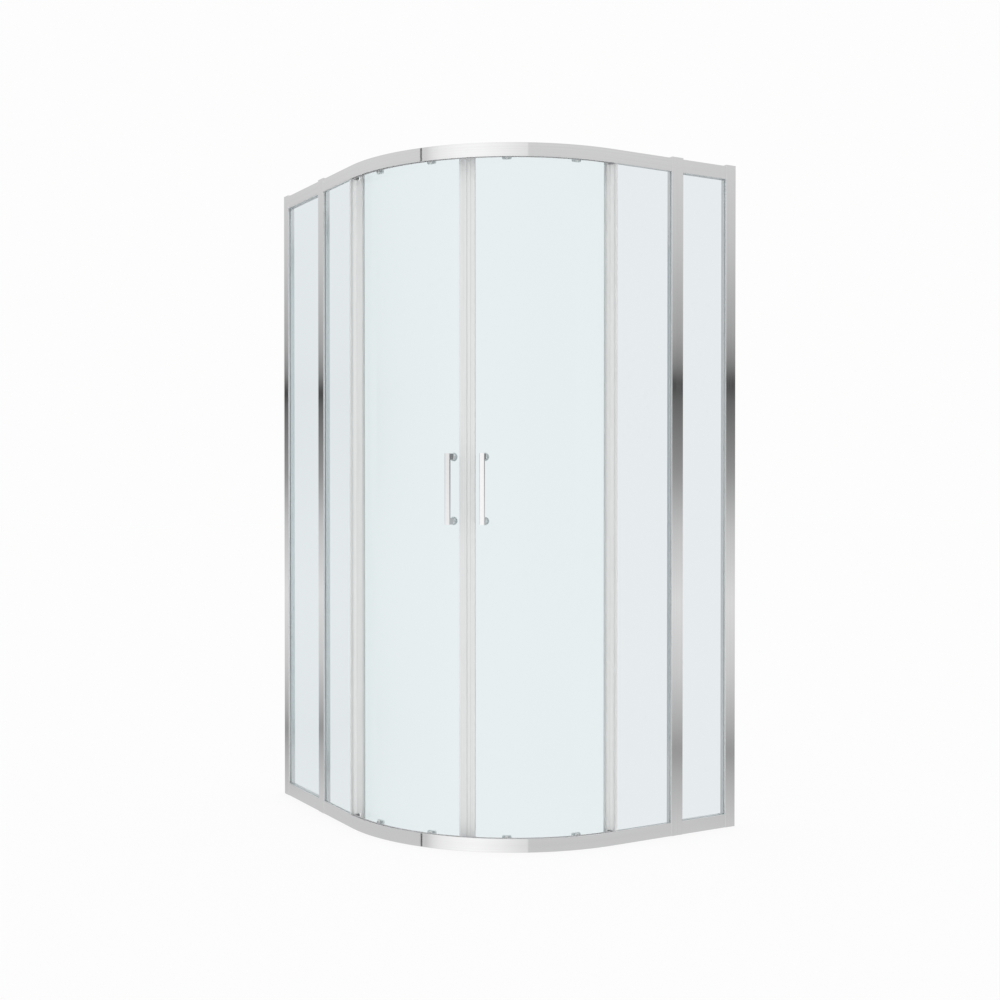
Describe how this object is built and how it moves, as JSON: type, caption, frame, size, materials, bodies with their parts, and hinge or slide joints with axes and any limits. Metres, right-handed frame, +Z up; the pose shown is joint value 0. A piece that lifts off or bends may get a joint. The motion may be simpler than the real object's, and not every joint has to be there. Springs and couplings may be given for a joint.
{
  "type": "corner shower enclosure",
  "caption": "Curved corner shower enclosure in polished metal frame and clear glass, with sliding bowed doors, flat fixed panes, framed side extensions and square pull handles.",
  "frame": {"origin": "centre of the bounding box at the floor", "axes": "+Z up, +X along the right panel towards its wall, +Y along the left panel towards its wall; the doors face -X and -Y"},
  "size_m": [0.991, 1.082, 1.95],
  "materials": {
    "polished_aluminium": "polished",
    "chrome_cap": "polished",
    "clear_glass": "clear, faint blue-green",
    "grey_gasket": "matte",
    "clear_pvc": "translucent",
    "magnet": "matte",
    "chrome": "polished",
    "clear_washer": "translucent",
    "grey_plastic": "satin",
    "steel": "satin",
    "nylon": "satin",
    "dark_rubber": "matte"
  },
  "bodies": {
    "frame": {"bottom_track": "polished_aluminium", "bracket_screws": "steel", "draught_blocks": "dark_rubber", "end_cap_left": "chrome_cap", "end_cap_right": "chrome_cap", "end_post_left": "polished_aluminium", "end_post_right": "polished_aluminium", "extension_bottom_rail_left": "polished_aluminium", "extension_bottom_rail_right": "polished_aluminium", "extension_gasket_left": "grey_gasket", "extension_gasket_right": "grey_gasket", "extension_glass_left": "clear_glass", "extension_glass_right": "clear_glass", "extension_top_rail_left": "polished_aluminium", "extension_top_rail_right": "polished_aluminium", "fixed_gasket_left": "grey_gasket", "fixed_gasket_right": "grey_gasket", "fixed_glass_left": "clear_glass", "fixed_glass_right": "clear_glass", "fixed_seal_left": "clear_pvc", "fixed_seal_right": "clear_pvc", "joining_cap_left": "chrome_cap", "joining_cap_right": "chrome_cap", "joining_post_left": "polished_aluminium", "joining_post_right": "polished_aluminium", "post_screws": "steel", "rail_brackets": "steel", "top_track": "polished_aluminium", "track_stops": "dark_rubber", "wall_channel_left": "polished_aluminium", "wall_channel_right": "polished_aluminium"},
    "door_left": {"door_glass_left": "clear_glass", "magnetic_seal_left": "clear_pvc", "magnet_strip_left": "magnet", "edge_seal_left": "clear_pvc", "handle_left": "chrome", "handle_bolts_left": "chrome", "handle_washers_left": "clear_washer", "roller_carriers_left": "grey_plastic", "roller_axles_left": "steel", "clamp_screws_left": "steel"},
    "door_right": {"door_glass_right": "clear_glass", "magnetic_seal_right": "clear_pvc", "magnet_strip_right": "magnet", "edge_seal_right": "clear_pvc", "handle_right": "chrome", "handle_bolts_right": "chrome", "handle_washers_right": "clear_washer", "roller_carriers_right": "grey_plastic", "roller_axles_right": "steel", "clamp_screws_right": "steel"},
    "wheel_top_lead_left": {"wheel_top_lead_left": "nylon"},
    "wheel_top_trail_left": {"wheel_top_trail_left": "nylon"},
    "wheel_bottom_lead_left": {"wheel_bottom_lead_left": "nylon"},
    "wheel_bottom_trail_left": {"wheel_bottom_trail_left": "nylon"},
    "wheel_top_lead_right": {"wheel_top_lead_right": "nylon"},
    "wheel_top_trail_right": {"wheel_top_trail_right": "nylon"},
    "wheel_bottom_lead_right": {"wheel_bottom_lead_right": "nylon"},
    "wheel_bottom_trail_right": {"wheel_bottom_trail_right": "nylon"}
  },
  "joints": [
    {"name": "door_left_slide", "type": "hinge", "parent": "frame", "child": "door_left", "pos_m": [0.1367, 0.0336, 0.973], "axis": [0, 0, -1], "range_deg": [0, 18.75]},
    {"name": "door_right_slide", "type": "hinge", "parent": "frame", "child": "door_right", "pos_m": [0.0791, 0.0912, 0.973], "axis": [0, 0, 1], "range_deg": [0, 18.75]},
    {"name": "wheel_top_lead_left_spin", "type": "hinge", "parent": "door_left", "child": "wheel_top_lead_left", "pos_m": [-0.38981, -0.27369, 1.9333], "axis": [-0.8434, -0.5373, 0], "continuous": true},
    {"name": "wheel_top_trail_left_spin", "type": "hinge", "parent": "door_left", "child": "wheel_top_trail_left", "pos_m": [-0.46448, -0.08169, 1.9333], "axis": [-0.9848, -0.1736, 0], "continuous": true},
    {"name": "wheel_bottom_lead_left_spin", "type": "hinge", "parent": "door_left", "child": "wheel_bottom_lead_left", "pos_m": [-0.38981, -0.27369, 0.0127], "axis": [-0.8434, -0.5373, 0], "continuous": true},
    {"name": "wheel_bottom_trail_left_spin", "type": "hinge", "parent": "door_left", "child": "wheel_bottom_trail_left", "pos_m": [-0.46448, -0.08169, 0.0127], "axis": [-0.9848, -0.1736, 0], "continuous": true},
    {"name": "wheel_top_lead_right_spin", "type": "hinge", "parent": "door_right", "child": "wheel_top_lead_right", "pos_m": [-0.22819, -0.43531, 1.9333], "axis": [-0.5373, -0.8434, 0], "continuous": true},
    {"name": "wheel_top_trail_right_spin", "type": "hinge", "parent": "door_right", "child": "wheel_top_trail_right", "pos_m": [-0.03619, -0.50998, 1.9333], "axis": [-0.1736, -0.9848, 0], "continuous": true},
    {"name": "wheel_bottom_lead_right_spin", "type": "hinge", "parent": "door_right", "child": "wheel_bottom_lead_right", "pos_m": [-0.22819, -0.43531, 0.0127], "axis": [-0.5373, -0.8434, 0], "continuous": true},
    {"name": "wheel_bottom_trail_right_spin", "type": "hinge", "parent": "door_right", "child": "wheel_bottom_trail_right", "pos_m": [-0.03619, -0.50998, 0.0127], "axis": [-0.1736, -0.9848, 0], "continuous": true}
  ],
  "couplings": [
    {"joint": "wheel_top_lead_left_spin", "follows": "door_left_slide", "ratio": 67.736},
    {"joint": "wheel_top_trail_left_spin", "follows": "door_left_slide", "ratio": 68.015},
    {"joint": "wheel_bottom_lead_left_spin", "follows": "door_left_slide", "ratio": -67.736},
    {"joint": "wheel_bottom_trail_left_spin", "follows": "door_left_slide", "ratio": -68.015},
    {"joint": "wheel_top_lead_right_spin", "follows": "door_right_slide", "ratio": -67.736},
    {"joint": "wheel_top_trail_right_spin", "follows": "door_right_slide", "ratio": -68.015},
    {"joint": "wheel_bottom_lead_right_spin", "follows": "door_right_slide", "ratio": 67.736},
    {"joint": "wheel_bottom_trail_right_spin", "follows": "door_right_slide", "ratio": 68.015}
  ]
}
